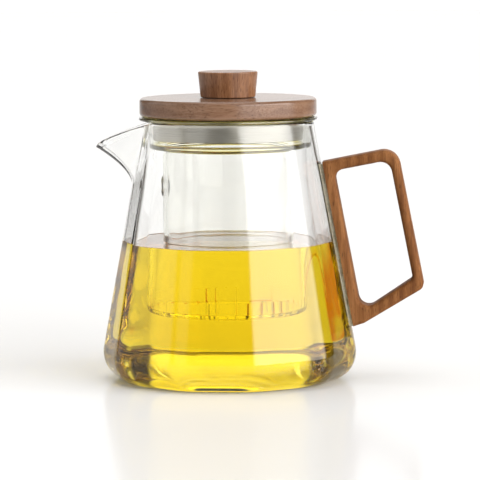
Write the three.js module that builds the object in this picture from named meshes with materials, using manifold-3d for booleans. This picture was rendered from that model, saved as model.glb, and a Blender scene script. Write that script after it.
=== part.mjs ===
// A glass teapot: a ten-sided glass pot with a pulled lip, a glued walnut loop handle, a slotted glass
// infuser that hangs in the mouth, and a walnut lid with a steel liner held on by the knob's screw.
// Millimetres, +Z up. The origin is where the pot's axis meets the table. The lip points along -X and the
// handle along +X.

import * as THREE from 'three';
import { mergeVertices } from 'three/addons/utils/BufferGeometryUtils.js';
import Module from 'manifold-3d';

const wasm = await Module();
wasm.setup();

const FIT_GAP = 0.3; // between two pieces that touch
const TURN = 2 * Math.PI;

// Pot: corner radii are measured from the axis to the tips of the ten-sided section's rounded corners.
const FACETS = 10;
const HALF_FACET = Math.PI / FACETS;
const CONTACT_RADIUS = 50; // corner radius of the flat base
const HEEL_BULGE = 11.4; // how far the heel stands out past the base
const HEEL_HEIGHT = 13;
const WALL_SLOPE = 0.186; // radius lost per millimetre of height
const HEEL_END = Math.atan(WALL_SLOPE * HEEL_HEIGHT / HEEL_BULGE); // where the heel's curve meets the wall
const WALL_FOOT_Z = HEEL_HEIGHT * (1 + Math.sin(HEEL_END));
const WALL_FOOT_RADIUS = CONTACT_RADIUS + HEEL_BULGE * Math.cos(HEEL_END);
const NECK_Z = 108.3; // the wall turns gently upright above here
const NECK_CURVE = 0.0013;
const RIM_Z = 124.9;
const RIM_BEAD = 1.2; // half the wall's thickness at the rim
const WALL_TOP = 2.4;
const WALL_FOOT = 3;
const FLOOR_Z = 5;
const INNER_HEEL_BULGE = 12;
const INNER_HEEL_HEIGHT = 14;
const EDGE_ROUND = 22; // rounding of the ten upright edges outside
const INNER_EDGE_ROUND = 19.5;
const ROUNDING_FROM_Z = 95; // the section turns from ten-sided to round between here and the rim

// Pulled lip
const LIP_ROOT_Z = 93;
const LIP_REACH = 20.9;
const LIP_THICKENING = 1.2;
const LIP_RISE_POWER = 1.65;
const LIP_ROOT_ANGLE = THREE.MathUtils.degToRad(6);
const LIP_MOUTH_ANGLE = THREE.MathUtils.degToRad(23);
const LIP_NOSE = 0.12; // rounding of the nose, as a share of the lip's width
const LIP_DROP = 11.6; // how far the nose hangs below the rim

// Handle: corners of the loop in the XZ plane as [x, z, rounding]. The first and the last corner lie past the
// flat side that faces the pot, which is cut afterwards.
const HANDLE_DEPTH = 14;
const HANDLE_EDGE = 2;
const HANDLE_FOOT_Z = 25.4;
const HANDLE_TOP_Z = 104.9;
const BOND_THICKNESS = 0.5;
const BOND_MARGIN = 0.7;
const CUT_MARGIN = 6; // how far the cut of the flat side runs past the loop's ends
const HANDLE_OUTLINE = [
  [50, 22.4, 3],
  [65.5, 27.5, 6],
  [94.4, 44.8, 3.5],
  [81.2, 112.2, 8],
  [38, 103.7, 3],
];
const HANDLE_OPENING = [
  [64.1, 32.7, 5],
  [51.1, 100.9, 4.5],
  [77.9, 106.1, 5.5],
  [88.9, 49.3, 2.5],
];

// Infuser
const FLANGE_RADIUS = 43;
const FLANGE_Z = RIM_Z + FIT_GAP;
const FLANGE_TOP_Z = FLANGE_Z + 1.6;
const COLLAR_RADIUS = 38.6;
const COLLAR_BORE = 36.8;
const COLLAR_Z = 111.7;
const INFUSER_WALL = 1.9;
const INFUSER_RADIUS = 30.9;
const INFUSER_BORE = INFUSER_RADIUS - INFUSER_WALL;
const INFUSER_Z = 31;
const SLITS = 40;
const SLIT_WIDTH = 1;
const SLIT_TOP_Z = 39;
const SLIT_INNER_END = 27.3; // how near the axis the slits reach in the infuser's floor
const VENT_Z = 93;
const VENT_BORE = 3.2;
const VENT_LIP = 1;
const VENT_LIP_ROUND = 1.2;

// Lid
const DISC_RADIUS = 42.6;
const DISC_Z = FLANGE_TOP_Z + FIT_GAP;
const DISC_TOP_Z = 135.9;
const DISC_EDGE = 1.6;
const KNOB_Z = DISC_TOP_Z + FIT_GAP;
const KNOB_TOP_Z = 148.5;
const KNOB_FOOT_RADIUS = 13.2;
const KNOB_TOP_RADIUS = 14.5;
const LINER_RADIUS = 36.4;
const LINER_SHEET = 0.6;
const LINER_TOP_Z = DISC_Z - FIT_GAP;
const LINER_FOOT_Z = 116.1;
const SCREW_RADIUS = 1.7;
const SCREW_HOLE = SCREW_RADIUS + FIT_GAP;
const SCREW_HEAD_RADIUS = 3.8;
const SCREW_HEAD_HEIGHT = 2.4;
const SCREW_TIP_Z = 144.5;
const SOCKET_RADIUS = 1.5;
const SOCKET_DEPTH = 1.4;
const WASHER_RADIUS = 6;
const WASHER_HEIGHT = 0.8;
const WASHER_TOP_Z = LINER_TOP_Z - LINER_SHEET - FIT_GAP;
const INSERT_RADIUS = 3.2;
const INSERT_HEIGHT = 9;

// Steps round the solids of revolution
const ROUND_STEPS = 48;
const DISC_STEPS = 60;
const SMALL_STEPS = 24;
const VENT_STEPS = 20;
const SOCKET_SIDES = 6;

const look = (colour, roughness, metalness) =>
  new THREE.MeshStandardMaterial({ color: colour, roughness, metalness });
const glassLook = look('#e6ebe8', 0.05, 0);
const walnutLook = look('#8b5f42', 0.45, 0);
const discWalnutLook = look('#7d5a44', 0.5, 0);
const steelLook = look('#b4aca2', 0.35, 1);
const screwLook = look('#c4c2bd', 0.25, 1);
const brassLook = look('#b89a55', 0.35, 1);
const bondLook = look('#d9d3c4', 0.3, 0);

// Solids

function bare(geometry) {
  geometry.deleteAttribute('normal');
  geometry.deleteAttribute('uv');
  return mergeVertices(geometry, 1e-4);
}

function toSolid(geometry) {
  const closed = bare(geometry);
  return new wasm.Manifold(new wasm.Mesh({
    numProp: 3,
    vertProperties: new Float32Array(closed.attributes.position.array),
    triVerts: new Uint32Array(closed.index.array),
  }));
}

function toGeometry(solid) {
  const mesh = solid.getMesh();
  const geometry = new THREE.BufferGeometry();
  geometry.setAttribute('position', new THREE.BufferAttribute(mesh.vertProperties, 3));
  geometry.setIndex(new THREE.BufferAttribute(mesh.triVerts, 1));
  return geometry;
}

// A closed outline through corners [x, y, rounding]
function trace(path, corners) {
  const at = (i) => new THREE.Vector2(...corners[(i + corners.length) % corners.length]);
  corners.forEach(([, , rounding = 0], i) => {
    const corner = at(i);
    const back = at(i - 1).sub(corner).normalize();
    const ahead = at(i + 1).sub(corner).normalize();
    const cut = rounding / Math.tan(Math.acos(back.dot(ahead)) / 2);
    const start = back.multiplyScalar(cut).add(corner);
    const end = ahead.multiplyScalar(cut).add(corner);
    if (i === 0) path.moveTo(start.x, start.y);
    else path.lineTo(start.x, start.y);
    if (rounding) path.quadraticCurveTo(corner.x, corner.y, end.x, end.y);
  });
  path.closePath();
  return path;
}

// A solid of revolution about Z through corners [radius, z, rounding], running up its outside
function turned(corners, steps = ROUND_STEPS) {
  const points = trace(new THREE.Path(), corners).getPoints(2);
  const open = corners[0][0] === 0;
  if (open) points.pop();
  return new THREE.LatheGeometry(points, steps).rotateX(Math.PI / 2);
}

function rod(radius, low, high, steps) {
  return turned([[0, low], [radius, low], [radius, high], [0, high]], steps);
}

// A closed skin over rings of points that run from the bottom's middle to the top's, counterclockwise
function skin(rings, bottom, top) {
  const count = rings[0].length;
  const last = (rings.length - 1) * count;
  const index = [];
  for (let i = 0; i < count; i++) {
    const next = (i + 1) % count;
    index.push(0, 1 + next, 1 + i);
    for (let row = 0; row < last; row += count) {
      const [a, b] = [1 + row + i, 1 + row + next];
      index.push(a, b, b + count, a, b + count, a + count);
    }
    index.push(1 + last + i, 1 + last + next, 1 + last + count);
  }
  const points = [bottom, ...rings.flat(), top];
  const geometry = new THREE.BufferGeometry().setFromPoints(points);
  geometry.setIndex(index);
  return geometry;
}

// Pot

function wallRadius(z) {
  const neck = Math.max(0, z - NECK_Z);
  return WALL_FOOT_RADIUS - WALL_SLOPE * (z - WALL_FOOT_Z) + NECK_CURVE * neck * neck;
}

function edgeRounding(z, radius, sharp) {
  const share = THREE.MathUtils.clamp((z - ROUNDING_FROM_Z) / (RIM_Z - RIM_BEAD - ROUNDING_FROM_Z), 0, 1);
  return THREE.MathUtils.lerp(sharp, radius, share * share);
}

// Distance from the axis to the side of a ten-sided section with rounded corners
function facetedRadius(cornerRadius, rounding, angle) {
  const pitch = 2 * HALF_FACET;
  const fromCorner = Math.abs(angle - pitch * Math.round(angle / pitch));
  const centre = cornerRadius - rounding;
  const roundUpTo = Math.atan2(rounding * Math.sin(HALF_FACET), centre + rounding * Math.cos(HALF_FACET));
  if (fromCorner > roundUpTo) {
    const middle = centre * Math.cos(HALF_FACET) + rounding;
    return middle / Math.cos(HALF_FACET - fromCorner);
  }
  const side = centre * Math.sin(fromCorner);
  return centre * Math.cos(fromCorner) + Math.sqrt(rounding * rounding - side * side);
}

// Height of the rim's edge, which hangs down towards the lip's nose
function rimHeight(fromLip) {
  const share = Math.max(0, 1 - fromLip / (1.5 * LIP_MOUTH_ANGLE));
  return RIM_Z - RIM_BEAD - LIP_DROP * share ** 2.1;
}

// How far the lip pulls the wall out. rise is 0 at its root and 1 at the rim.
function lipReach(fromLip, rise) {
  const width = THREE.MathUtils.lerp(LIP_ROOT_ANGLE, LIP_MOUTH_ANGLE, rise ** 0.6);
  const across = Math.sqrt((fromLip / width) ** 2 + LIP_NOSE ** 2) - LIP_NOSE;
  return rise ** LIP_RISE_POWER * Math.max(0, 1 - across) ** 1.5;
}

function polar(angle, radius, z) {
  return new THREE.Vector3(radius * Math.cos(angle), radius * Math.sin(angle), z);
}

// The directions of the skin's points: six to a facet, and twice as close at the lip
function potDirections() {
  const step = HALF_FACET / 3;
  const directions = [];
  for (let i = 0; i < 6 * FACETS; i++) {
    directions.push(i * step);
    if (Math.abs((i + 0.5) * step - Math.PI) < LIP_MOUTH_ANGLE) directions.push((i + 0.5) * step);
  }
  return directions;
}

const POT_DIRECTIONS = potDirections();
const heelTurns = [0, 0.25, 0.5, 0.75, 1];
const lowHeights = [40, 66, LIP_ROOT_Z];
const lipRises = [0.15, 0.3, 0.45, 0.6, 0.75, 0.88, 1];

// One ring outside the pot, or inside it by the wall's thickness
function wallRing(rise, lowZ, grow, thickness) {
  return POT_DIRECTIONS.map((angle) => {
    const fromLip = Math.abs(angle - Math.PI);
    const z = lowZ ?? THREE.MathUtils.lerp(LIP_ROOT_Z, rimHeight(fromLip), rise);
    const corner = wallRadius(z) + grow - thickness;
    const sharp = thickness > 0 ? INNER_EDGE_ROUND : EDGE_ROUND;
    const round = edgeRounding(z, corner, sharp);
    const reach = thickness > 0 ? LIP_REACH - LIP_THICKENING : LIP_REACH;
    return polar(angle, facetedRadius(corner, round, angle) + reach * lipReach(fromLip, rise), z);
  });
}

function heelRing(turn, contact, bulge, baseZ, height, rounding) {
  const angle = THREE.MathUtils.lerp(-Math.PI / 2, HEEL_END, turn);
  const corner = contact + bulge * Math.cos(angle);
  const z = baseZ + height * (1 + Math.sin(angle));
  return POT_DIRECTIONS.map((direction) => polar(direction, facetedRadius(corner, rounding, direction), z));
}

function outerRings(grow = 0) {
  const heel = heelTurns.map((turn) =>
    heelRing(turn, CONTACT_RADIUS + grow, HEEL_BULGE, 0, HEEL_HEIGHT, EDGE_ROUND));
  const low = lowHeights.map((z) => wallRing(0, z, grow, 0));
  const lip = lipRises.map((rise) => wallRing(rise, undefined, grow, 0));
  return [...heel, ...low, ...lip];
}

function innerRings() {
  const footZ = FLOOR_Z + INNER_HEEL_HEIGHT * (1 + Math.sin(HEEL_END));
  const contact = wallRadius(footZ) - WALL_FOOT - INNER_HEEL_BULGE * Math.cos(HEEL_END);
  const heel = heelTurns.map((turn) =>
    heelRing(turn, contact, INNER_HEEL_BULGE, FLOOR_Z, INNER_HEEL_HEIGHT, INNER_EDGE_ROUND));
  const low = lowHeights.map((z) => {
    const share = (z - footZ) / (LIP_ROOT_Z - footZ);
    return wallRing(0, z, 0, THREE.MathUtils.lerp(WALL_FOOT, WALL_TOP, share));
  });
  const lip = lipRises.map((rise) => wallRing(rise, undefined, 0, WALL_TOP));
  return [...heel, ...low, ...lip];
}

// The rounded top of the rim, between the last ring outside and the last ring inside
function beadRings(outer, inner) {
  return [0.25, 0.5, 0.75].map((share) => outer.map((point, i) => {
    const middle = point.clone().lerp(inner[i], (1 - Math.cos(Math.PI * share)) / 2);
    middle.z += RIM_BEAD * Math.sin(Math.PI * share);
    return middle;
  }));
}

function potBody() {
  const outer = outerRings();
  const inner = innerRings();
  const bead = beadRings(outer.at(-1), inner.at(-1));
  return skin([...outer, ...bead, ...inner.reverse()], new THREE.Vector3(), new THREE.Vector3(0, 0, FLOOR_Z));
}

// Handle

// A solid across the XZ plane from an outline's shape, depth deep, centred on it
function acrossY(shape, depth, edge) {
  const settings = {
    depth: depth - 2 * edge,
    curveSegments: 5,
    bevelEnabled: edge > 0,
    bevelThickness: edge,
    bevelSize: edge,
    bevelOffset: -edge,
    bevelSegments: 3,
  };
  return new THREE.ExtrudeGeometry(shape, settings).rotateX(Math.PI / 2).translate(0, depth / 2 - edge, 0);
}

// Everything on the pot's side of a plane that follows the wall's slope at a distance from its edge
function wallSide(low, high, distance, inside) {
  return trace(new THREE.Shape(), [
    [wallRadius(low) - inside, low],
    [wallRadius(low) + distance, low],
    [wallRadius(high) + distance, high],
    [wallRadius(high) - inside, high],
  ]);
}

function handle() {
  const shape = trace(new THREE.Shape(), HANDLE_OUTLINE);
  shape.holes.push(trace(new THREE.Path(), HANDLE_OPENING));
  const loop = toSolid(acrossY(shape, HANDLE_DEPTH, HANDLE_EDGE));
  const face = BOND_THICKNESS + 2 * FIT_GAP;
  const past = WALL_FOOT_RADIUS / 2;
  const pot = wallSide(HANDLE_FOOT_Z - CUT_MARGIN, HANDLE_TOP_Z + CUT_MARGIN / 2, face, past);
  return toGeometry(loop.subtract(toSolid(acrossY(pot, 2 * HANDLE_DEPTH, 0))));
}

// The clear bond fills the wedges between the handle's flat side and the two facets that meet behind it.
function handleBond() {
  const face = BOND_THICKNESS + FIT_GAP;
  const shape = wallSide(HANDLE_FOOT_Z + BOND_MARGIN, HANDLE_TOP_Z - BOND_MARGIN, face, HANDLE_DEPTH / 2);
  const block = toSolid(acrossY(shape, HANDLE_DEPTH - HANDLE_EDGE, 0));
  const rings = outerRings(FIT_GAP);
  const topZ = rings.at(-1)[0].z;
  const pot = toSolid(skin(rings, new THREE.Vector3(), new THREE.Vector3(0, 0, topZ)));
  return toGeometry(block.subtract(pot));
}

// Infuser

// The slits are sawn upwards through the corner between the infuser's floor and its wall.
function slit(angle) {
  const [length, height] = [2 * (INFUSER_RADIUS - SLIT_INNER_END), 2 * (SLIT_TOP_Z - INFUSER_Z)];
  const blade = new THREE.BoxGeometry(length, SLIT_WIDTH, height);
  blade.translate(SLIT_INNER_END + length / 2, 0, INFUSER_Z);
  return toSolid(blade.rotateZ(angle));
}

// Turns a shape round Z into one round the axis of the vent hole, which is in the wall above the lip's side
function throughWall(geometry) {
  return toSolid(geometry.rotateY(Math.PI / 2).translate(VENT_LIP / 2 - INFUSER_RADIUS, 0, VENT_Z));
}

function infuser() {
  const glass = turned([
    [0, INFUSER_Z],
    [INFUSER_RADIUS, INFUSER_Z, 3.5],
    [INFUSER_RADIUS, COLLAR_Z, 1],
    [COLLAR_RADIUS, COLLAR_Z, 1.2],
    [COLLAR_RADIUS, FLANGE_Z, 0.5],
    [FLANGE_RADIUS, FLANGE_Z, 0.6],
    [FLANGE_RADIUS, FLANGE_TOP_Z, 0.6],
    [COLLAR_BORE, FLANGE_TOP_Z, 0.5],
    [COLLAR_BORE, COLLAR_Z + INFUSER_WALL, 1],
    [INFUSER_BORE, COLLAR_Z + INFUSER_WALL, 1],
    [INFUSER_BORE, INFUSER_Z + INFUSER_WALL, 2],
    [0, INFUSER_Z + INFUSER_WALL],
  ], SLITS);
  let solid = toSolid(glass);
  for (let i = 0; i < SLITS; i++) {
    solid = solid.subtract(slit(TURN * (i + 0.5) / SLITS));
  }
  const ring = throughWall(new THREE.TorusGeometry(VENT_BORE + VENT_LIP, VENT_LIP_ROUND, 8, VENT_STEPS));
  const bore = new THREE.CylinderGeometry(VENT_BORE, VENT_BORE, 4 * INFUSER_WALL, VENT_STEPS);
  return toGeometry(solid.add(ring).subtract(throughWall(bore.rotateX(Math.PI / 2))));
}

// Lid

function lidDisc() {
  return turned([
    [SCREW_HOLE, DISC_Z],
    [DISC_RADIUS, DISC_Z, DISC_EDGE],
    [DISC_RADIUS, DISC_TOP_Z, DISC_EDGE],
    [SCREW_HOLE, DISC_TOP_Z],
  ], DISC_STEPS);
}

function lidLiner() {
  const inside = LINER_RADIUS - LINER_SHEET;
  return turned([
    [SCREW_HOLE, LINER_TOP_Z - LINER_SHEET],
    [inside, LINER_TOP_Z - LINER_SHEET],
    [inside, LINER_FOOT_Z],
    [LINER_RADIUS, LINER_FOOT_Z],
    [LINER_RADIUS, LINER_TOP_Z],
    [SCREW_HOLE, LINER_TOP_Z],
  ]);
}

function lidKnob() {
  const bore = INSERT_RADIUS + FIT_GAP;
  const boreTop = KNOB_Z + INSERT_HEIGHT + 2 * FIT_GAP;
  return turned([
    [0, boreTop],
    [bore, boreTop],
    [bore, KNOB_Z],
    [KNOB_FOOT_RADIUS, KNOB_Z, 0.5],
    [KNOB_TOP_RADIUS, KNOB_TOP_Z, 0.5],
    [0, KNOB_TOP_Z],
  ]);
}

function knobInsert() {
  return turned([
    [SCREW_HOLE, KNOB_Z + FIT_GAP],
    [INSERT_RADIUS, KNOB_Z + FIT_GAP],
    [INSERT_RADIUS, KNOB_Z + FIT_GAP + INSERT_HEIGHT],
    [SCREW_HOLE, KNOB_Z + FIT_GAP + INSERT_HEIGHT],
  ], SMALL_STEPS);
}

function knobScrew() {
  const seat = WASHER_TOP_Z - WASHER_HEIGHT - FIT_GAP;
  const underside = seat - SCREW_HEAD_HEIGHT;
  const body = toSolid(turned([
    [0, underside],
    [SCREW_HEAD_RADIUS, underside, 0.8],
    [SCREW_HEAD_RADIUS, seat],
    [SCREW_RADIUS, seat],
    [SCREW_RADIUS, SCREW_TIP_Z],
    [0, SCREW_TIP_Z],
  ], SMALL_STEPS));
  const socketFoot = underside - SOCKET_DEPTH;
  const socket = toSolid(rod(SOCKET_RADIUS, socketFoot, underside + SOCKET_DEPTH, SOCKET_SIDES));
  return toGeometry(body.subtract(socket));
}

function screwWasher() {
  return turned([
    [SCREW_HOLE, WASHER_TOP_Z - WASHER_HEIGHT],
    [WASHER_RADIUS, WASHER_TOP_Z - WASHER_HEIGHT],
    [WASHER_RADIUS, WASHER_TOP_Z],
    [SCREW_HOLE, WASHER_TOP_Z],
  ], SMALL_STEPS);
}

// Assembly

const teapot = new THREE.Group();

function place(name, geometry, material) {
  const mesh = new THREE.Mesh(geometry, material);
  mesh.name = name;
  teapot.add(mesh);
}

place('pot_body', potBody(), glassLook);
place('handle', handle(), walnutLook);
place('handle_bond', handleBond(), bondLook);
place('infuser', infuser(), glassLook);
place('lid_disc', lidDisc(), discWalnutLook);
place('lid_liner', lidLiner(), steelLook);
place('lid_knob', lidKnob(), walnutLook);
place('knob_insert', knobInsert(), brassLook);
place('knob_screw', knobScrew(), screwLook);
place('screw_washer', screwWasher(), screwLook);

export default teapot;
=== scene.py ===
"""A glass teapot of yellow tea: faceted glass pot, walnut handle and lid, steel liner and glass infuser."""

import math

import bmesh
import bpy
from mathutils import Matrix, Vector


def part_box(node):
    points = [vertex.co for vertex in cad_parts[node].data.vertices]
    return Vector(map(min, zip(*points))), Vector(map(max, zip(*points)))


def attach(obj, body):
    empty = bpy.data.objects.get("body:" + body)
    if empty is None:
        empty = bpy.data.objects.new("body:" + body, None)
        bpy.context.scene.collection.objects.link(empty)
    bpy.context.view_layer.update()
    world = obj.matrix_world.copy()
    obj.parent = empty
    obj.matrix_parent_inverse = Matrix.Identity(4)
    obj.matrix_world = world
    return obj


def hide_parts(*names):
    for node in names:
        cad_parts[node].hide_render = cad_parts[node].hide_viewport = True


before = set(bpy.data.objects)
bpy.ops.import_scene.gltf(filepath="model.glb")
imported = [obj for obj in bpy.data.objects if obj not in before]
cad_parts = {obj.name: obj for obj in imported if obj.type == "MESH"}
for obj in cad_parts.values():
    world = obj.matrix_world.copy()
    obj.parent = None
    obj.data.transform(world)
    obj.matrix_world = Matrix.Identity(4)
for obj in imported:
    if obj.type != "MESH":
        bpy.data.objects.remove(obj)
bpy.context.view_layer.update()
MM = 0.001

# ---------------------------------------------------------------- driving dimensions, in millimetres

# Pot: corner radii run from the axis to the corners of the ten-sided section.
FACETS = 10
HALF_FACET = math.pi / FACETS
CONTACT_RADIUS = 50
HEEL_BULGE = 11.4
HEEL_HEIGHT = 13
WALL_SLOPE = 0.186
HEEL_END = math.atan(WALL_SLOPE * HEEL_HEIGHT / HEEL_BULGE)
WALL_FOOT_Z = HEEL_HEIGHT * (1 + math.sin(HEEL_END))
WALL_FOOT_RADIUS = CONTACT_RADIUS + HEEL_BULGE * math.cos(HEEL_END)
NECK_Z = 108.3
NECK_CURVE = 0.0013
RIM_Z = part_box("pot_body")[1].z / MM
RIM_BEAD = 1.2
WALL_TOP = 2.4
WALL_FOOT = 3
FLOOR_Z = 5
INNER_HEEL_BULGE = 12
INNER_HEEL_HEIGHT = 14
INNER_FOOT_Z = FLOOR_Z + INNER_HEEL_HEIGHT * (1 + math.sin(HEEL_END))
EDGE_ROUND = 22
INNER_EDGE_ROUND = 19.5
ROUNDING_FROM_Z = 95
HEEL_STEPS = 14
RISE_STEPS = 26
RISE_SPREAD = 1.15
BEAD_STEPS = 8

# Pulled lip
LIP_ROOT_Z = 93
LIP_REACH = 20.9
LIP_THICKENING = 1.2
LIP_RISE_POWER = 1.65
LIP_ROOT_ANGLE = math.radians(6)
LIP_MOUTH_ANGLE = math.radians(23)
LIP_NOSE = 0.12
LIP_DROP = 11.6
LIP_DIP_ANGLE = 1.5 * LIP_MOUTH_ANGLE
LIP_DIP_POWER = 2.1
LIP_WIDTH_POWER = 0.6
LIP_SIDE_POWER = 1.5

# Tea
TEA_Z = 66.2
TEA_INTO_GLASS = 0.25
MENISCUS_RISE = 0.5
MENISCUS_WIDTH = 0.8
TEA_WET_Z = TEA_Z + MENISCUS_RISE

# Handle: corners of the loop in the XZ plane as (x, z, rounding)
HANDLE_DEPTH = 14
HANDLE_EDGE = 2.1
HANDLE_OUTLINE = [(50, 22.4, 3), (65.5, 27.5, 6), (94.4, 44.8, 3.5), (81.2, 112.2, 8), (38, 103.7, 3)]
HANDLE_OPENING = [(64.1, 32.7, 5), (51.1, 100.9, 4.5), (77.9, 106.1, 5.5), (88.9, 49.3, 2.5)]
BOND_THICKNESS = 1.1
BOND_INSET = 1.2
BOND_OVERLAP = 0.1
BOND_HOLLOW = 0.5
BOND_WAVE = 0.35
BOND_RIPPLE = 0.15
BOND_STEPS = 60

# Infuser
INFUSER_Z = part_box("infuser")[0].z / MM
FLANGE_TOP_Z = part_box("infuser")[1].z / MM
FLANGE_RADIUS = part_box("infuser")[1].x / MM
FLANGE_THICKNESS = 1.6
COLLAR_RADIUS = 38.6
COLLAR_BORE = 36.8
COLLAR_Z = 111.7
INFUSER_WALL = 1.9
INFUSER_RADIUS = 30.9
# Height above which the infuser's level faces get the painted yellow glow
PAINTED_GLOW_FROM_Z = COLLAR_Z - 1
SLITS = 40
SLIT_WIDTH = 1
SLIT_TOP_Z = 39
SLIT_INNER_END = 27.3
VENT_Z = 93
VENT_BORE = 3.2
VENT_LIP = 1
VENT_LIP_ROUND = 1.2
VENT_LIP_STEPS = 20
VENT_STEPS = 48

# Lid
FIT_GAP = 0.3
DISC_EDGE = 1.7
KNOB_FOOT_RADIUS = 13.2
LINER_SHEET = 0.6
SCREW_HOLE = 2
ROUND_STEPS = 160
KNOB_STEPS = 128


# ---------------------------------------------------------------- mesh helpers

def rounded(corners, closed=True, steps=6):
    """Points along an outline through (x, y, rounding) corners, each corner turned into an arc."""
    points = []
    count = len(corners)
    for i, corner in enumerate(corners):
        here = Vector(corner[:2])
        rounding = corner[2] if len(corner) > 2 else 0
        if not rounding or (not closed and i in (0, count - 1)):
            points.append(tuple(here))
            continue
        back = (Vector(corners[i - 1][:2]) - here).normalized()
        ahead = (Vector(corners[(i + 1) % count][:2]) - here).normalized()
        half = back.angle(ahead) / 2
        middle = here + (back + ahead).normalized() * (rounding / math.sin(half))
        start = here + back * (rounding / math.tan(half)) - middle
        turn = start.angle_signed(here + ahead * (rounding / math.tan(half)) - middle)
        for step in range(steps + 1):
            arm = start.copy()
            arm.rotate(Matrix.Rotation(-turn * step / steps, 2))
            points.append(tuple(middle + arm))
    return points


def new_object(name, vertices, faces):
    """A smooth-shaded object from vertices in millimetres."""
    mesh = bpy.data.meshes.new(name)
    mesh.from_pydata([Vector(v) * MM for v in vertices], [], faces)
    mesh.validate()
    obj = bpy.data.objects.new(name, mesh)
    bpy.context.scene.collection.objects.link(obj)
    mesh.shade_smooth()
    return obj


def skin(name, rings, bottom, top):
    """A closed skin over rings of points that run counterclockwise, from the bottom point to the top one."""
    count = len(rings[0])
    vertices = [bottom] + [p for ring in rings for p in ring] + [top]
    faces = []
    for i in range(count):
        j = (i + 1) % count
        faces.append((0, 1 + j, 1 + i))
        for row in range(len(rings) - 1):
            a, b = 1 + row * count, 1 + (row + 1) * count
            faces.append((a + i, a + j, b + j, b + i))
        last = 1 + (len(rings) - 1) * count
        faces.append((last + i, last + j, len(vertices) - 1))
    return new_object(name, vertices, faces)


def revolve(name, profile, steps, on_axis=False):
    """A solid of revolution about Z. The profile's (radius, z) points run up its outside."""
    rings = profile[1:-1] if on_axis else profile
    vertices = []
    for radius, z in rings:
        vertices += [polar(2 * math.pi * k / steps, radius, z) for k in range(steps)]
    faces = []
    spans = len(rings) - 1 if on_axis else len(rings)
    for row in range(spans):
        a, b = row * steps, (row + 1) % len(rings) * steps
        faces += [(a + k, a + (k + 1) % steps, b + (k + 1) % steps, b + k) for k in range(steps)]
    if on_axis:
        low, high = len(vertices), len(vertices) + 1
        vertices += [(0, 0, profile[0][1]), (0, 0, profile[-1][1])]
        last = (len(rings) - 1) * steps
        faces += [(low, (k + 1) % steps, k) for k in range(steps)]
        faces += [(high, last + k, last + (k + 1) % steps) for k in range(steps)]
    return new_object(name, vertices, faces)


def crisp(obj, degrees=30):
    """Marks the edges that turn by more than that as sharp, and lets big faces set the shading."""
    obj.data.set_sharp_from_angle(angle=math.radians(degrees))
    modifier = obj.modifiers.new("weighted", "WEIGHTED_NORMAL")
    modifier.keep_sharp = True
    return obj


def polar(angle, radius, z):
    return Vector((radius * math.cos(angle), radius * math.sin(angle), z))


def lerp(a, b, share):
    return a + (b - a) * share


# ---------------------------------------------------------------- pot

def wall_radius(z):
    neck = max(0, z - NECK_Z)
    return WALL_FOOT_RADIUS - WALL_SLOPE * (z - WALL_FOOT_Z) + NECK_CURVE * neck * neck


def wall_thickness(z):
    share = (z - INNER_FOOT_Z) / (LIP_ROOT_Z - INNER_FOOT_Z)
    return lerp(WALL_FOOT, WALL_TOP, min(1, max(0, share)))


def edge_rounding(z, radius, sharp):
    """The corners' rounding, which grows from sharp towards the rim until the section is a circle."""
    share = min(1, max(0, (z - ROUNDING_FROM_Z) / (RIM_Z - RIM_BEAD - ROUNDING_FROM_Z)))
    return lerp(sharp, radius, share * share)


def arc_half(corner_radius, rounding):
    """The angle that half of a corner's rounding takes up, seen from the axis."""
    centre = corner_radius - rounding
    return math.atan2(rounding * math.sin(HALF_FACET), centre + rounding * math.cos(HALF_FACET))


def faceted_radius(corner_radius, rounding, angle):
    """Distance from the axis to the side of a ten-sided section with rounded corners."""
    pitch = 2 * HALF_FACET
    from_corner = abs(angle - pitch * round(angle / pitch))
    centre = corner_radius - rounding
    if from_corner > arc_half(corner_radius, rounding):
        return (centre * math.cos(HALF_FACET) + rounding) / math.cos(HALF_FACET - from_corner)
    side = centre * math.sin(from_corner)
    return centre * math.cos(from_corner) + math.sqrt(rounding * rounding - side * side)


def directions(corner_radius, rounding):
    """Directions round the axis, with steps that end where each corner's arc meets its facets."""
    widest_arc = 0.75 * HALF_FACET
    arc_steps = 7
    along_facet = (0.04, 0.12, 0.25, 0.42, 0.6, 0.8, 1)
    arc = min(arc_half(corner_radius, rounding), widest_arc)
    offsets = [arc * k / arc_steps for k in range(arc_steps + 1)]
    offsets += [lerp(arc, HALF_FACET, share) for share in along_facet]
    facet = [-o for o in offsets[:0:-1]] + offsets[:-1]
    return [2 * HALF_FACET * k + o for k in range(FACETS) for o in facet]


def rim_height(from_lip):
    """Height of the wall's top at an angle from the lip, where the rim dips."""
    share = max(0, 1 - from_lip / LIP_DIP_ANGLE)
    return RIM_Z - RIM_BEAD - LIP_DROP * share ** LIP_DIP_POWER


def lip_reach(from_lip, rise):
    """Share of the lip's full reach at an angle from its middle and a share of the way up to the rim."""
    width = lerp(LIP_ROOT_ANGLE, LIP_MOUTH_ANGLE, rise ** LIP_WIDTH_POWER)
    across = math.sqrt((from_lip / width) ** 2 + LIP_NOSE ** 2) - LIP_NOSE
    return rise ** LIP_RISE_POWER * max(0, 1 - across) ** LIP_SIDE_POWER


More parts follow.
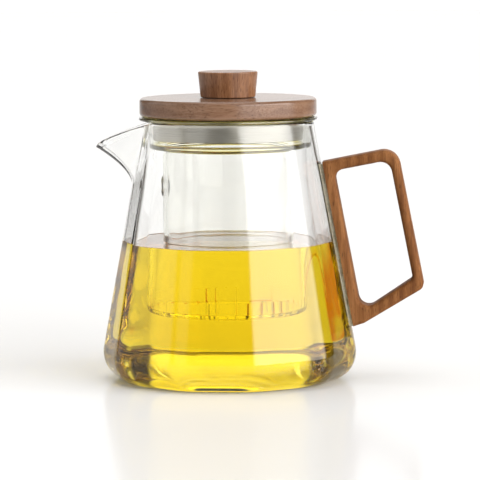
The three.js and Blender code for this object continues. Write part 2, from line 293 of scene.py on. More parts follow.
def wall_ring(z=None, rise=0, inside=False, grow=0):
    """A ring of the wall at a height, or above the lip's root at a share of the way up to the rim."""
    ring = []
    reach = LIP_REACH - LIP_THICKENING if inside else LIP_REACH
    sharp = INNER_EDGE_ROUND if inside else EDGE_ROUND
    guide_z = z if z is not None else lerp(LIP_ROOT_Z, RIM_Z - RIM_BEAD, rise)
    guide = wall_radius(guide_z)
    for angle in directions(guide, edge_rounding(guide_z, guide, sharp)):
        from_lip = abs(angle % (2 * math.pi) - math.pi)
        at_z = z if z is not None else lerp(LIP_ROOT_Z, rim_height(from_lip), rise)
        corner = wall_radius(at_z) - (wall_thickness(at_z) if inside else 0) + grow
        rounding = edge_rounding(at_z, corner, sharp)
        radius = faceted_radius(corner, rounding, angle) + reach * lip_reach(from_lip, rise)
        ring.append(polar(angle, radius, at_z))
    return ring


def heel_ring(turn, contact, bulge, base_z, height, rounding):
    angle = lerp(-math.pi / 2, HEEL_END, turn)
    corner = contact + bulge * math.cos(angle)
    z = base_z + height * (1 + math.sin(angle))
    return [polar(a, faceted_radius(corner, rounding, a), z) for a in directions(corner, rounding)]


def inner_heel(grow=0):
    contact = wall_radius(INNER_FOOT_Z) - WALL_FOOT - INNER_HEEL_BULGE * math.cos(HEEL_END)
    shape = (contact, INNER_HEEL_BULGE + grow, FLOOR_Z - grow, INNER_HEEL_HEIGHT + grow, INNER_EDGE_ROUND)
    return [heel_ring(k / HEEL_STEPS, *shape) for k in range(HEEL_STEPS + 1)]


def pot_glass():
    heights = (30, 40, 50, 60, TEA_WET_Z, 73, 80, 87, LIP_ROOT_Z)
    rises = [(k / RISE_STEPS) ** RISE_SPREAD for k in range(1, RISE_STEPS + 1)]
    heel = (CONTACT_RADIUS, HEEL_BULGE, 0, HEEL_HEIGHT, EDGE_ROUND)
    outer = [heel_ring(k / HEEL_STEPS, *heel) for k in range(HEEL_STEPS + 1)]
    outer += [wall_ring(z) for z in heights] + [wall_ring(rise=r) for r in rises]
    inner = inner_heel()
    inner += [wall_ring(z, inside=True) for z in heights] + [wall_ring(rise=r, inside=True) for r in rises]
    bead = []
    for k in range(1, BEAD_STEPS):
        turn = math.pi * k / BEAD_STEPS
        lift = Vector((0, 0, RIM_BEAD * math.sin(turn)))
        bead.append([o.lerp(i, (1 - math.cos(turn)) / 2) + lift for o, i in zip(outer[-1], inner[-1])])
    return skin("pot_glass", outer + bead + inner[::-1], (0, 0, 0), (0, 0, FLOOR_Z))


def is_wet(face):
    """Whether a face of the pot is inside it and below the tea's edge."""
    centre = face.center
    inward = -(face.normal.x * centre.x + face.normal.y * centre.y)
    clearly_inward, clearly_up = 1e-6, 0.7
    inside = inward > clearly_inward or face.normal.z > clearly_up
    return inside and centre.z < TEA_WET_Z * MM


def tea_body():
    """The tea fills the pot and reaches a little into the glass, so that no air shows between them."""
    grow = TEA_INTO_GLASS
    heights = [26, 32, 38, 44, 50, 56, 62]
    from_wall = (0, grow, 0.4, 0.6, 0.9, 1.3, 1.9, 2.8, 4)
    outside_tube = (4, 2.8, 1.9, 1.3, 0.8, 0.4, 0.15, 0)
    inside_tube = (0, 0.15, 0.4, 0.8, 1.3, 1.9, 2.8, 4, 10, 20)
    rings = inner_heel(grow) + [wall_ring(z, inside=True, grow=grow) for z in heights]
    edge = wall_ring(TEA_Z, inside=True, grow=grow)
    tube = (INFUSER_RADIUS - INFUSER_WALL, INFUSER_RADIUS)

    def surface_point(point, inset=None, radius=None):
        """A point of the tea's surface at an inset from the wall, or at a radius near the infuser."""
        at_radius = radius if radius is not None else math.hypot(point.x, point.y) - inset
        to_wall = math.hypot(point.x, point.y) - grow - at_radius
        to_tube = max(tube[0] - at_radius, at_radius - tube[1])
        gap = max(0, min(to_wall, to_tube))
        rise = MENISCUS_RISE * math.exp(-gap / MENISCUS_WIDTH)
        return polar(math.atan2(point.y, point.x), at_radius, TEA_Z + rise)

    for inset in from_wall:
        rings.append([surface_point(p, inset=inset) for p in edge])
    for off in outside_tube:
        rings.append([surface_point(p, radius=tube[1] + off) for p in edge])
    for off in inside_tube:
        rings.append([surface_point(p, radius=tube[0] - off) for p in edge])
    obj = skin("tea", rings, (0, 0, FLOOR_Z - grow), (0, 0, TEA_Z))
    obj.data.materials.append(tea_liquid("tea_surface", TEA_IOR))
    obj.data.materials.append(tea_liquid("tea_against_glass", 1.0))
    top = MM * (TEA_Z - 1)
    for face in obj.data.polygons:
        face.material_index = 0 if min(obj.data.vertices[v].co.z for v in face.vertices) > top else 1
    return obj


# ---------------------------------------------------------------- handle

def plane_at_wall(distance):
    """A point and the outward normal of the plane that follows the wall's corner on the handle's side."""
    low, high = 30, 100
    point = Vector((wall_radius(low) + distance, 0, low))
    along = Vector((wall_radius(high) + distance, 0, high)) - point
    return point, Vector((along.z, 0, -along.x)).normalized()


def handle_loop():
    curve = bpy.data.curves.new("handle_curve", "CURVE")
    curve.dimensions = "2D"
    curve.fill_mode = "BOTH"
    curve.extrude = (HANDLE_DEPTH / 2 - HANDLE_EDGE) * MM
    curve.bevel_depth = HANDLE_EDGE * MM
    curve.bevel_resolution = 5
    curve.offset = -HANDLE_EDGE * MM
    for corners in (HANDLE_OUTLINE, HANDLE_OPENING):
        points = rounded(corners, steps=8)
        spline = curve.splines.new("POLY")
        spline.points.add(len(points) - 1)
        spline.use_cyclic_u = True
        for target, (x, z) in zip(spline.points, points):
            target.co = (x * MM, z * MM, 0, 1)
    source = bpy.data.objects.new("handle_curve", curve)
    mesh = bpy.data.meshes.new_from_object(source)
    bpy.data.objects.remove(source)
    mesh.transform(Matrix.Rotation(math.pi / 2, 4, "X"))
    work = bmesh.new()
    work.from_mesh(mesh)
    bmesh.ops.remove_doubles(work, verts=work.verts, dist=1e-6)
    point, normal = plane_at_wall(BOND_THICKNESS)
    geometry = work.verts[:] + work.edges[:] + work.faces[:]
    bmesh.ops.bisect_plane(work, geom=geometry, plane_co=point * MM, plane_no=normal, clear_inner=True)
    rim = [e for e in work.edges if e.is_boundary]
    bmesh.ops.holes_fill(work, edges=rim, sides=0)
    bmesh.ops.recalc_face_normals(work, faces=work.faces)
    work.to_mesh(mesh)
    work.free()
    mesh.name = "handle_wood"
    obj = bpy.data.objects.new("handle_wood", mesh)
    bpy.context.scene.collection.objects.link(obj)
    mesh.shade_smooth()
    return crisp(obj, degrees=40)


def bond_ring(z, half, squeeze):
    """The adhesive's section: along the rounded corner of the glass, and back along the flat wood."""
    wood_x = wall_radius(z) + BOND_THICKNESS + BOND_OVERLAP
    ring = []
    for y in (-half, -half * 0.5, 0, half * 0.5, half):
        corner = math.sqrt(EDGE_ROUND ** 2 - y * y) - EDGE_ROUND
        ring.append(Vector((wall_radius(z) - BOND_OVERLAP + corner, y, z)))
    near, far = ring[0], ring[-1]

    def on_side(corner, side, share):
        reach = half - BOND_HOLLOW * math.sin(math.pi * share) + squeeze
        return Vector((lerp(corner.x, wood_x, share), side * reach, z))

    ring += [on_side(far, 1, 0.5), on_side(far, 1, 1), Vector((wood_x, 0, z))]
    ring += [on_side(near, -1, 1), on_side(near, -1, 0.5)]
    return ring[::-1]


def handle_bond():
    """Clear adhesive in the wedges between the handle's flat side and the two facets behind it.
    Three waves of different pitch make its edge uneven."""
    low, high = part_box("handle_bond")[0].z / MM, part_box("handle_bond")[1].z / MM
    half = HANDLE_DEPTH / 2 - BOND_INSET
    rings = []
    for k in range(BOND_STEPS + 1):
        squeeze = BOND_WAVE * math.sin(k * 0.9) * math.sin(k * 0.37 + 1) + BOND_RIPPLE * math.sin(k * 2.3)
        rings.append(bond_ring(lerp(low, high, k / BOND_STEPS), half, squeeze))
    bottom, top = (sum(ring, Vector()) / len(ring) for ring in (rings[0], rings[-1]))
    return crisp(skin("handle_adhesive", rings, bottom, top), degrees=50)


# ---------------------------------------------------------------- infuser

def infuser_outline():
    """The infuser's section as runs of (radius, z) points: the slit part outside, the rest, and inside."""
    bore = INFUSER_RADIUS - INFUSER_WALL
    floor_z = INFUSER_Z + INFUSER_WALL
    under_flange = FLANGE_TOP_Z - FLANGE_THICKNESS
    slit_outside = rounded([
        (SLIT_INNER_END, INFUSER_Z),
        (INFUSER_RADIUS, INFUSER_Z, 2.2),
        (INFUSER_RADIUS, SLIT_TOP_Z),
    ], closed=False)
    slit_inside = rounded([(bore, SLIT_TOP_Z), (bore, floor_z, 0.8), (SLIT_INNER_END, floor_z)], closed=False)
    rest = rounded([
        (INFUSER_RADIUS, TEA_Z),
        (INFUSER_RADIUS, COLLAR_Z, 1.4),
        (COLLAR_RADIUS, COLLAR_Z, 1.3),
        (COLLAR_RADIUS, under_flange, 0.5),
        (FLANGE_RADIUS, under_flange, 0.75),
        (FLANGE_RADIUS, FLANGE_TOP_Z, 0.75),
        (COLLAR_BORE, FLANGE_TOP_Z, 0.6),
        (COLLAR_BORE, COLLAR_Z + INFUSER_WALL, 1),
        (bore, COLLAR_Z + INFUSER_WALL, 1),
        (bore, TEA_Z),
    ], closed=False)
    return slit_outside, rest, slit_inside


def slotted_shell():
    """The infuser as a revolved shell, with narrow slits sawn up through the corner at its foot."""
    slit_outside, rest, slit_inside = infuser_outline()
    rings = slit_outside + rest + slit_inside
    half_slit = SLIT_WIDTH / 2 / INFUSER_RADIUS
    pitch = 2 * math.pi / SLITS
    stops = [-half_slit] + [lerp(half_slit, pitch - half_slit, share) for share in (0, 0.25, 0.5, 0.75)]
    angles = [pitch * (k + 0.5) + stop for k in range(SLITS) for stop in stops]
    count = len(angles)
    out_top, in_top, last = len(slit_outside) - 1, len(rings) - len(slit_inside), len(rings) - 1
    removed = list(range(out_top + 1)) + list(range(in_top, last + 1))
    vertices = [polar(a, radius, z) for radius, z in rings for a in angles]
    vertices += [(0, 0, INFUSER_Z), (0, 0, INFUSER_Z + INFUSER_WALL)]
    under, floor = len(vertices) - 2, len(vertices) - 1

    def at(row, k):
        return row * count + k % count

    faces = []
    for k in range(count):
        slit = k % len(stops) == 0
        faces.append((under, at(0, k + 1), at(0, k)))
        faces.append((floor, at(last, k), at(last, k + 1)))
        for row in range(last):
            if not (slit and (row < out_top or row >= in_top)):
                faces.append((at(row, k), at(row, k + 1), at(row + 1, k + 1), at(row + 1, k)))
        if slit:
            faces.append(tuple(at(row, k) for row in reversed(removed)))
            faces.append(tuple(at(row, k + 1) for row in removed))
            faces.append((at(out_top, k), at(in_top, k), at(in_top, k + 1), at(out_top, k + 1)))
            faces.append((at(0, k), at(0, k + 1), at(last, k + 1), at(last, k)))
    return new_object("infuser_glass", vertices, faces)


def combine(obj, tool, operation):
    """Joins a tool to an object or cuts it out of it, and removes the tool."""
    modifier = obj.modifiers.new("combine", "BOOLEAN")
    modifier.operation = operation
    modifier.object = tool
    graph = bpy.context.evaluated_depsgraph_get()
    result = bpy.data.meshes.new_from_object(obj.evaluated_get(graph))
    obj.modifiers.remove(modifier)
    obj.data = result
    bpy.data.objects.remove(tool)


def is_painted_glow_face(face):
    """Whether a face is one of the level faces of the collar and the flange, whose glass gets a yellow tint
    that paints on the tea-coloured light they show.
    """
    nearly_level = 0.35
    return face.center.z > PAINTED_GLOW_FROM_Z * MM and abs(face.normal.z) > nearly_level


def infuser_glass():
    obj = slotted_shell()
    through_wall = Matrix.Translation((MM * (VENT_LIP / 2 - INFUSER_RADIUS), 0, MM * VENT_Z))
    through_wall @= Matrix.Rotation(math.pi / 2, 4, "Y")
    middle = VENT_BORE + VENT_LIP
    lip = [2 * math.pi * k / VENT_LIP_STEPS for k in range(VENT_LIP_STEPS)]
    section = [(middle + VENT_LIP_ROUND * math.cos(a), VENT_LIP_ROUND * math.sin(a)) for a in lip]
    ring = revolve("vent_ring", section, VENT_STEPS)
    reach = 3 * INFUSER_WALL
    profile = [(0, -reach), (VENT_BORE, -reach), (VENT_BORE, reach), (0, reach)]
    bore = revolve("vent_bore", profile, VENT_STEPS, on_axis=True)
    for tool, operation in ((ring, "UNION"), (bore, "DIFFERENCE")):
        tool.data.transform(through_wall)
        combine(obj, tool, operation)
    obj.data.set_sharp_from_angle(angle=math.radians(40))
    return obj


# ---------------------------------------------------------------- lid

def lid_pieces():
    disc_low, disc_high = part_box("lid_disc")
    disc_z, disc_top, disc_radius = disc_low.z / MM, disc_high.z / MM, disc_high.x / MM
    hole = SCREW_HOLE
    disc = revolve("lid_disc_wood", rounded([
        (hole, disc_z),
        (disc_radius, disc_z, DISC_EDGE),
        (disc_radius, disc_top, DISC_EDGE),
        (hole, disc_top),
    ], steps=8), ROUND_STEPS)
    knob_low, knob_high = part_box("lid_knob")
    knob_z, knob_top = knob_low.z / MM, knob_high.z / MM
    insert_low, insert_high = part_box("knob_insert")
    bore, bore_top = insert_high.x / MM + FIT_GAP, insert_high.z / MM + FIT_GAP
    knob = revolve("lid_knob_wood", rounded([
        (0, bore_top),
        (bore, bore_top),
        (bore, knob_z),
        (KNOB_FOOT_RADIUS, knob_z, 0.5),
        (knob_high.x / MM, knob_top, 0.7),
        (0, knob_top),
    ], closed=False), KNOB_STEPS, on_axis=True)
    liner_low, liner_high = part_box("lid_liner")
    radius, foot, top, sheet = liner_high.x / MM, liner_low.z / MM, liner_high.z / MM, LINER_SHEET
    liner = revolve("lid_liner_steel", rounded([
        (hole, top - sheet),
        (radius - sheet, top - sheet, 1.2),
        (radius - sheet, foot + sheet / 2),
        (radius - sheet / 2, foot),
        (radius, foot + sheet / 2),
        (radius, top, 0.5),
        (hole, top),
    ]), ROUND_STEPS)
    for piece in (disc, knob, liner):
        crisp(piece, degrees=35)
    return disc, knob, liner


# ---------------------------------------------------------------- materials

GLASS_IOR = 1.47
TEA_IOR = 1.333
WET_GLASS_IOR = GLASS_IOR / TEA_IOR
WET_INFUSER_IOR = 1.06
POT_TINT = (0.993, 0.997, 0.994)
NO_TINT = (1, 1, 1)
INFUSER_TINT = (0.993, 0.995, 0.988)
# Yellow tint that paints tea-coloured light onto the collar's and flange's level faces
INFUSER_PAINTED_GLOW_TINT = (0.99, 0.9, 0.4)
INFUSER_DEPTH_TINT = (0.97, 0.95, 0.35)
INFUSER_DEPTH_DENSITY = 14.0
TEA_COLOUR = (0.97, 0.895, 0.02, 1)
TEA_DENSITY = 46.0
SCREW_STEEL = (0.6, 0.6, 0.6)
INSERT_BRASS = (0.72, 0.5, 0.2)


class Nodes:
    """A short way to write a node tree: each call adds a node and returns its first or named output."""

    def __init__(self, owner):
        owner.use_nodes = True
        self.tree = owner.node_tree
        self.tree.nodes.clear()

    def add(self, kind, out=0, props=None, **inputs):
        node = self.tree.nodes.new(kind)
        for key, value in (props or {}).items():
            setattr(node, key, value)
        for key, value in inputs.items():
            slot = int(key[2:]) if key.startswith("in") and key[2:].isdigit() else key.replace("_", " ")
            self.put(node.inputs[slot], value)
        return node.outputs[out] if out is not None else node

    def put(self, socket, value):
        if isinstance(value, bpy.types.NodeSocket):
            self.tree.links.new(value, socket)
        else:
            socket.default_value = value

    def math(self, operation, *values):
        node = self.tree.nodes.new("ShaderNodeMath")
        node.operation = operation
        for socket, value in zip(node.inputs, values):
            self.put(socket, value)
        return node.outputs[0]

    def remap(self, value, low, high, to_low=0.0, to_high=1.0):
        props = {"interpolation_type": "SMOOTHSTEP"}
        return self.add("ShaderNodeMapRange", 0, props, in0=value, in1=low, in2=high, in3=to_low, in4=to_high)

    def ramp(self, factor, *stops):
        node = self.tree.nodes.new("ShaderNodeValToRGB")
        ramp = node.color_ramp
        while len(ramp.elements) < len(stops):
            ramp.elements.new(0.5)
        for element, (place, colour) in zip(ramp.elements, stops):
            element.position = place
            element.color = (*colour, 1)
        self.put(node.inputs[0], factor)
        return node.outputs[0]

    def mix(self, factor, a, b):
        node = self.add("ShaderNodeMix", None, {"data_type": "RGBA"})
        self.put(node.inputs[0], factor)
        self.put(node.inputs[6], a)
        self.put(node.inputs[7], b)
        return node.outputs[2]

    def place(self, scale, rotation=(0, 0, 0)):
        """Object coordinates, turned and scaled."""
        coordinates = self.add("ShaderNodeTexCoord", "Object")
        turned = self.add("ShaderNodeMapping", 0, None, Vector=coordinates, Rotation=rotation)
        return self.add("ShaderNodeMapping", 0, None, Vector=turned, Scale=scale)

    def noise(self, detail, scale, rotation=(0, 0, 0), roughness=0.5):
        """Noise in object coordinates, with its grain set by scale."""
        inputs = {"Vector": self.place(scale, rotation), "Detail": detail, "Roughness": roughness}
        return self.add("ShaderNodeTexNoise", 0, None, Scale=1.0, **inputs)

    def surface(self, shader, volume=None):
        output = self.add("ShaderNodeOutputMaterial", None)
        self.put(output.inputs["Surface"], shader)
        if volume is not None:
            self.put(output.inputs["Volume"], volume)


def glass(name, tint, ior, depth_tint=None):
    """Clear glass with a faint ripple. Its depth tint grows with the way that light goes in it.
    ior may be a number, or a function that adds nodes for it: then the socket's own value is GLASS_IOR."""
    material = bpy.data.materials.new(name)
    n = Nodes(material)
    ripple = n.noise(1.0, (60, 60, 25))
    bump = n.add("ShaderNodeBump", 0, None, Strength=0.08, Distance=0.0004, Height=ripple)
    depth = None
    if depth_tint:
        depth = n.add("ShaderNodeVolumeAbsorption", 0, None, Color=(*depth_tint, 1),
                      Density=INFUSER_DEPTH_DENSITY)
    shader = n.add("ShaderNodeBsdfPrincipled", None, None, Base_Color=(*tint, 1), Roughness=0.0, Normal=bump,
                   IOR=GLASS_IOR, Transmission_Weight=1.0)
    n.put(shader.inputs["IOR"], ior(n) if callable(ior) else ior)
    n.surface(shader.outputs[0], depth)
    return material


def ior_by_height(n):
    """Glass bends light less in tea than in air, so its index drops below the tea's surface."""
    position = n.add("ShaderNodeNewGeometry", "Position")
    height = n.add("ShaderNodeSeparateXYZ", "Z", None, Vector=position)
    above = n.math("GREATER_THAN", height, TEA_WET_Z * MM)
    return n.math("MULTIPLY_ADD", above, GLASS_IOR - WET_INFUSER_IOR, WET_INFUSER_IOR)


def tea_liquid(name, ior):
    """Tea that absorbs light evenly. Against glass its index is 1, since the wet glass bends for both."""
    material = bpy.data.materials.new(name)
    n = Nodes(material)
    volume = n.add("ShaderNodeVolumeAbsorption", 0, None, Color=TEA_COLOUR, Density=TEA_DENSITY)
    shader = n.add("ShaderNodeBsdfPrincipled", 0, None, Base_Color=(1, 1, 1, 1), Roughness=0.0, IOR=ior,
                   Transmission_Weight=1.0)
    n.surface(shader, volume)
    return material


# Dark, middle and light tones of the wood
HANDLE_TONES = (0.08, 0.026, 0.008), (0.19, 0.072, 0.022), (0.3, 0.13, 0.046)
DISC_TONES = (0.065, 0.028, 0.013), (0.165, 0.082, 0.045), (0.25, 0.14, 0.085)
KNOB_TONES = (0.075, 0.026, 0.012), (0.19, 0.082, 0.036), (0.3, 0.145, 0.07)
TONE_STOPS = 0.42, 0.72, 1.0
FIBRE_WEIGHT = 0.8
DRIFT_WEIGHT = 0.65
RING_WEIGHT = 0.14
PORE_WEIGHT = 0.55
PORE_TONE = 0.35
FIBRE_RELIEF = 0.4
SATIN_SPREAD = 0.14


def walnut(name, rotation, dark, middle, light, gloss, coat, satin):
    """Walnut whose grain runs along local Z once the coordinates are turned by rotation."""
    material = bpy.data.materials.new(name)
    n = Nodes(material)
    drift = n.noise(3.0, (60, 60, 12), rotation)
    rings = n.add("ShaderNodeTexWave", 0, {"bands_direction": "X"}, Vector=n.place((1, 1, 0.06), rotation),
                  Scale=60.0, Distortion=3.5, Detail=2.0, Detail_Scale=1.2)
    fibre = n.noise(5.0, (1500, 1500, 70), rotation, 0.65)
    pores = n.noise(1.0, (2600, 2600, 240), rotation)
    pits = n.remap(pores, 0.6, 0.7)
    fine = n.math("MULTIPLY_ADD", fibre, FIBRE_WEIGHT, n.math("MULTIPLY", drift, DRIFT_WEIGHT))
    tone = n.math("MULTIPLY_ADD", rings, RING_WEIGHT, fine)
    colour = n.ramp(tone, *zip(TONE_STOPS, (dark, middle, light)))
    in_pore = (*[c * PORE_TONE for c in dark], 1)
    colour = n.mix(n.math("MULTIPLY", pits, PORE_WEIGHT), colour, in_pore)
    height = n.math("SUBTRACT", n.math("MULTIPLY", fibre, FIBRE_RELIEF), pits)
    bump = n.add("ShaderNodeBump", 0, None, Strength=0.35, Distance=0.00012, Height=height)
    roughness = n.remap(fibre, 0.3, 0.7, satin, satin + SATIN_SPREAD)
    n.surface(n.add("ShaderNodeBsdfPrincipled", 0, None, Base_Color=colour, Roughness=roughness, Normal=bump,
                    Specular_IOR_Level=gloss, Coat_Weight=coat, Coat_Roughness=0.24))
    return material


def brushed_steel():
    material = bpy.data.materials.new("brushed_steel")
    n = Nodes(material)
    lines = n.noise(4.0, (30, 30, 5200), roughness=0.7)
    colour = n.ramp(lines, (0.3, (0.52, 0.49, 0.44)), (0.7, (0.7, 0.67, 0.61)))
    roughness = n.remap(lines, 0.3, 0.7, 0.26, 0.4)
    bump = n.add("ShaderNodeBump", 0, None, Strength=0.25, Distance=0.00003, Height=lines)
    around = n.add("ShaderNodeTangent", 0, {"direction_type": "RADIAL", "axis": "Z"})
    n.surface(n.add("ShaderNodeBsdfPrincipled", 0, None, Base_Color=colour, Roughness=roughness, Metallic=1.0,
                    Anisotropic=0.6, Tangent=around, Normal=bump))
    return material


def turned_metal(name, colour, roughness):
    material = bpy.data.materials.new(name)
    n = Nodes(material)
    marks = n.noise(3.0, (900, 900, 900))
    shade = n.ramp(marks, (0.35, tuple(c * 0.85 for c in colour)), (0.65, colour))
    bump = n.add("ShaderNodeBump", 0, None, Strength=0.15, Distance=0.00003, Height=marks)
    n.surface(n.add("ShaderNodeBsdfPrincipled", 0, None, Base_Color=shade, Metallic=1.0, Normal=bump,
                    Roughness=n.remap(marks, 0.3, 0.7, roughness, roughness + 0.1)))
    return material


def adhesive():
    material = bpy.data.materials.new("clear_adhesive")
    n = Nodes(material)
    grains = n.noise(3.0, (1400, 1400, 1400))
    colour = n.ramp(grains, (0.4, (0.8, 0.76, 0.6)), (0.65, (0.6, 0.5, 0.32)))
    bump = n.add("ShaderNodeBump", 0, None, Strength=0.3, Distance=0.0002, Height=grains)
    n.surface(n.add("ShaderNodeBsdfPrincipled", 0, None, Base_Color=colour, Roughness=0.3, IOR=1.43,
                    Transmission_Weight=0.4, Normal=bump))
    return material


def dress(piece, material, slot, body, *nodes):
    """Gives a piece its material, hides the CAD nodes it replaces and attaches it to the body it rides with.
    slot is not used.
    """
    piece.data.materials.clear()
    piece.data.materials.append(material)
    if nodes:
        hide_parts(*nodes)
    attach(piece, body)
    return piece


def build_object():
    clear = glass("pot_clear_glass", POT_TINT, GLASS_IOR)
    pot = dress(pot_glass(), clear, "clear_glass", "pot", "pot_body")
    pot.data.materials.append(glass("pot_wet_glass", NO_TINT, WET_GLASS_IOR))
    for face in pot.data.polygons:
        face.material_index = 1 if is_wet(face) else 0
    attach(tea_body(), "pot")
    upright, across = (0, 0, 0), (0, math.radians(90), 0)
    handle_wood = walnut("handle_walnut", upright, *HANDLE_TONES, gloss=0.12, coat=0.0, satin=0.58)
    dress(handle_loop(), handle_wood, "handle_walnut", "pot", "handle")
    dress(handle_bond(), adhesive(), "clear_bond", "pot", "handle_bond")
    infuser_clear = glass("infuser_clear_glass", INFUSER_TINT, ior_by_height, INFUSER_DEPTH_TINT)
    # Painted light: the collar and flange get a yellow tint that stands in for the tea-coloured light they
    # show
    infuser_painted_glow = glass("infuser_painted_glow_glass", INFUSER_PAINTED_GLOW_TINT, ior_by_height, INFUSER_DEPTH_TINT)
    infuser = dress(infuser_glass(), infuser_clear, "infuser_glass", "infuser", "infuser")
    infuser.data.materials.append(infuser_painted_glow)
    for face in infuser.data.polygons:
        face.material_index = 1 if is_painted_glow_face(face) else 0
    disc, knob, liner = lid_pieces()
    disc_wood = walnut("disc_walnut", across, *DISC_TONES, gloss=0.0, coat=1.0, satin=0.4)
    knob_wood = walnut("knob_walnut", upright, *KNOB_TONES, gloss=0.0, coat=0.7, satin=0.4)
    dress(disc, disc_wood, "disc_walnut", "lid", "lid_disc")
    dress(knob, knob_wood, "knob_walnut", "lid", "lid_knob")
    dress(liner, brushed_steel(), "brushed_steel", "lid", "lid_liner")
    screw = turned_metal("screw_steel", SCREW_STEEL, 0.25)
    brass = turned_metal("insert_brass", INSERT_BRASS, 0.3)
    for node, material in (("knob_screw", screw), ("screw_washer", screw), ("knob_insert", brass)):
        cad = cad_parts[node]
        cad.data.materials.clear()
        cad.data.materials.append(material)


# ---------------------------------------------------------------- stage

CAMERA_AZIMUTH = math.radians(4.8)
CAMERA_ELEVATION = math.radians(5.7)
CAMERA_DISTANCE = 1.582
CAMERA_LENS = 245.6
CAMERA_ROLL = math.radians(-0.35)
AIM_RIGHT = 0.00537
AIM_UP = 0.06695
SENSOR_WIDTH = 36
SIGHT = 50


def make_camera():
    camera = bpy.data.objects.new("camera", bpy.data.cameras.new("camera"))
    bpy.context.scene.collection.objects.link(camera)
    camera.data.sensor_width = SENSOR_WIDTH
    camera.data.lens = CAMERA_LENS
    camera.data.clip_end = SIGHT
    right = Vector((math.cos(CAMERA_AZIMUTH), math.sin(CAMERA_AZIMUTH), 0))
    aim = right * AIM_RIGHT + Vector((0, 0, AIM_UP))
    level = Vector((math.sin(CAMERA_AZIMUTH), -math.cos(CAMERA_AZIMUTH), 0))
    back = level * math.cos(CAMERA_ELEVATION) + Vector((0, 0, math.sin(CAMERA_ELEVATION)))
    camera.location = aim + back * CAMERA_DISTANCE
    turn = (-back).to_track_quat("-Z", "Y").to_matrix() @ Matrix.Rotation(CAMERA_ROLL, 3, "Z")
    camera.rotation_euler = turn.to_euler()
    bpy.context.scene.camera = camera


FLOOR_DROP = -0.00005
FLOOR_RADIUS = 6
FLOOR_CORNERS = 96
FLOOR_GLOSS = 0.15
FLOOR_ROUGHNESS = 0.16
SHEET_HALF_WIDTH = 1.1
SHEET_FRONT = 0.45
SHEET_FADE = 0.3
FLOOR_PALE = (0.8, 0.8, 0.8, 1)
FLOOR_DARK = (0.1, 0.1, 0.1, 1)
# Colour of the painted amber light on the floor behind the pot, standing in for light that passes through the
# tea
FLOOR_PAINTED_CAUSTIC = (0.7, 0.28, 0.015, 1)
MANY_SURFACES = 5
GOLDEN_SLOPE = 1.3
GOLDEN_EDGE = 0.065
GOLDEN_EDGE_FADE = 0.025
GOLDEN_LEFT_FADE = -0.025, -0.005
GOLDEN_FRONT_FADE = -0.03, 0.01
GOLDEN_REACH_FADE = 0.16, 0.24


def painted_golden_light(n, position, x, y):
    """Painted light: an amber patch painted into the floor's colour where the key light would reach the floor
    through the tea, behind the pot on the side away from the light. It shows only through the tea, after
    light has crossed at least MANY_SURFACES surfaces."""
    from_line = n.math("MULTIPLY_ADD", x, GOLDEN_SLOPE, y)
    beside = n.remap(from_line, GOLDEN_EDGE, GOLDEN_EDGE + GOLDEN_EDGE_FADE, 1.0, 0.0)
    left = n.remap(x, *GOLDEN_LEFT_FADE, 1.0, 0.0)
    behind = n.remap(y, *GOLDEN_FRONT_FADE)
    reach = n.add("ShaderNodeVectorMath", "Value", {"operation": "LENGTH"}, in0=position)
    near = n.remap(reach, *GOLDEN_REACH_FADE, 1.0, 0.0)
    crossed = n.add("ShaderNodeLightPath", "Transmission Depth")
    through_tea = n.math("GREATER_THAN", crossed, MANY_SURFACES - 0.5)
    area = n.math("MULTIPLY", n.math("MULTIPLY", beside, left), n.math("MULTIPLY", behind, near))
    return n.math("MULTIPLY", area, through_tea)


def make_floor():
    """A pale sheet with a soft gloss and a painted patch of amber light behind the pot. Past its edges the
    floor is dark to everything but the camera.
    """
    place = (0, 0, FLOOR_DROP)
    bpy.ops.mesh.primitive_circle_add(vertices=FLOOR_CORNERS, radius=FLOOR_RADIUS, fill_type="NGON",
                                      location=place)
    floor = bpy.context.object
    floor.name = "floor"
    material = bpy.data.materials.new("floor_white")
    n = Nodes(material)
    position = n.add("ShaderNodeNewGeometry", "Position")
    x, y = n.add("ShaderNodeSeparateXYZ", None, None, Vector=position).outputs[:2]
    sideways = n.remap(n.math("ABSOLUTE", x), SHEET_HALF_WIDTH, SHEET_HALF_WIDTH + SHEET_FADE, 1.0, 0.0)
    forward = n.remap(y, -SHEET_FRONT - SHEET_FADE, -SHEET_FRONT)
    seen = n.add("ShaderNodeLightPath", "Is Camera Ray")
    pale = n.math("MAXIMUM", n.math("MULTIPLY", sideways, forward), seen)
    # Painted light: an amber patch painted into the floor's colour stands in for the tea-coloured light
    # behind the pot
    colour = n.mix(painted_golden_light(n, position, x, y), FLOOR_PALE, FLOOR_PAINTED_CAUSTIC)
    colour = n.mix(pale, FLOOR_DARK, colour)
    matte = n.add("ShaderNodeBsdfDiffuse", 0, None, Color=colour)
    gloss = n.add("ShaderNodeBsdfGlossy", 0, None, Color=(1, 1, 1, 1), Roughness=FLOOR_ROUGHNESS)
    mixed = n.add("ShaderNodeMixShader", None)
    n.put(mixed.inputs[0], FLOOR_GLOSS)
    n.put(mixed.inputs[1], matte)
    n.put(mixed.inputs[2], gloss)
    n.surface(mixed.outputs[0])
    floor.data.materials.append(material)


# The studio's panels as (from, to) azimuths and elevations in degrees, and strength. Azimuths run from
# the camera's side of the object to the right. Round the panels the studio is dim and warm.
PANELS = [
    ((20, 98), (-8, 34), 6.3),
    ((-125, -66), (-8, 45), 1.0),
    ((-54, -23), (-8, 40), 0.7),
    ((-80, 60), (-8, 60), 0.08),
    ((158, 204), (-8, 40), 1.0),
    ((158, 204), (9, 40), 0.7),
    ((-180, 180), (60, 120), 2.0),
]
STUDIO_SURROUND = (0.1, 0.085, 0.065, 1)
SEEN_THROUGH_GLASS = 1.8
PANEL_SOFTNESS = 6
ALL_ROUND = 360


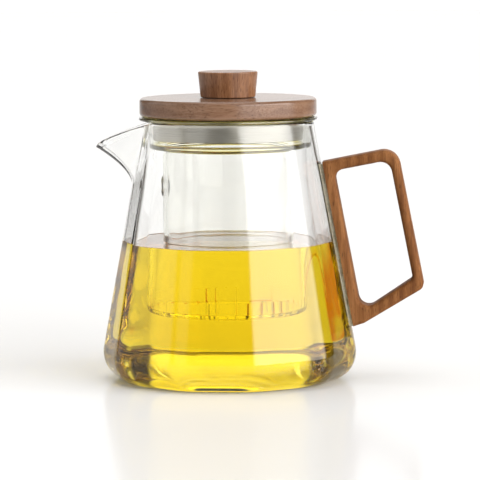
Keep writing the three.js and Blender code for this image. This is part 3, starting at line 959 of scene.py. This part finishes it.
def make_light():
    """A studio of bright panels. Seen directly it is white, and through glass no panel glares."""
    world = bpy.data.worlds.new("studio")
    bpy.context.scene.world = world
    n = Nodes(world)
    direction = n.add("ShaderNodeTexCoord", "Generated")
    x, y, z = n.add("ShaderNodeSeparateXYZ", None, None, Vector=direction).outputs
    azimuth = n.math("DEGREES", n.math("ARCTAN2", x, n.math("MULTIPLY", y, -1.0)))
    behind = n.math("DEGREES", n.math("ARCTAN2", n.math("MULTIPLY", x, -1.0), y))
    elevation = n.math("DEGREES", n.math("ARCSINE", z))

    def window(value, low, high):
        rise = n.remap(value, low - PANEL_SOFTNESS, low + PANEL_SOFTNESS)
        fall = n.remap(value, high - PANEL_SOFTNESS, high + PANEL_SOFTNESS, 1.0, 0.0)
        return n.math("MULTIPLY", rise, fall)

    total = 0.0
    for (left, right), (low, high), strength in PANELS:
        across = window(azimuth, left, right)
        if right - left == ALL_ROUND:
            across = 1.0
        elif right > 180:
            across = window(behind, left - 180, right - 180)
        up = window(elevation, low, high)
        total = n.math("MULTIPLY_ADD", n.math("MULTIPLY", across, up), strength, total)
    path = n.add("ShaderNodeLightPath", None).outputs
    unlit = n.math("LESS_THAN", path["Diffuse Depth"], 0.5)
    through_glass = n.math("MULTIPLY", path["Is Transmission Ray"], unlit)
    excess = n.math("MAXIMUM", n.math("SUBTRACT", total, SEEN_THROUGH_GLASS), 0.0)
    strength = n.math("SUBTRACT", total, n.math("MULTIPLY", excess, through_glass))
    strength = n.math("MAXIMUM", strength, path["Is Camera Ray"])
    background = n.add("ShaderNodeBackground", 0, None, Color=(1, 1, 1, 1), Strength=strength)
    surround = n.add("ShaderNodeBackground", 0, None, Color=STUDIO_SURROUND, Strength=1.0)
    both = n.add("ShaderNodeAddShader", 0, None, in0=background, in1=surround)
    n.add("ShaderNodeOutputWorld", None, None, Surface=both)


def make_view():
    scene = bpy.context.scene
    scene.view_settings.view_transform = "Standard"
    scene.cycles.max_bounces = 32
    scene.cycles.transmission_bounces = 32
    scene.cycles.glossy_bounces = 8
    scene.cycles.transparent_max_bounces = 16


build_object()
make_camera()
make_floor()
make_light()
make_view()
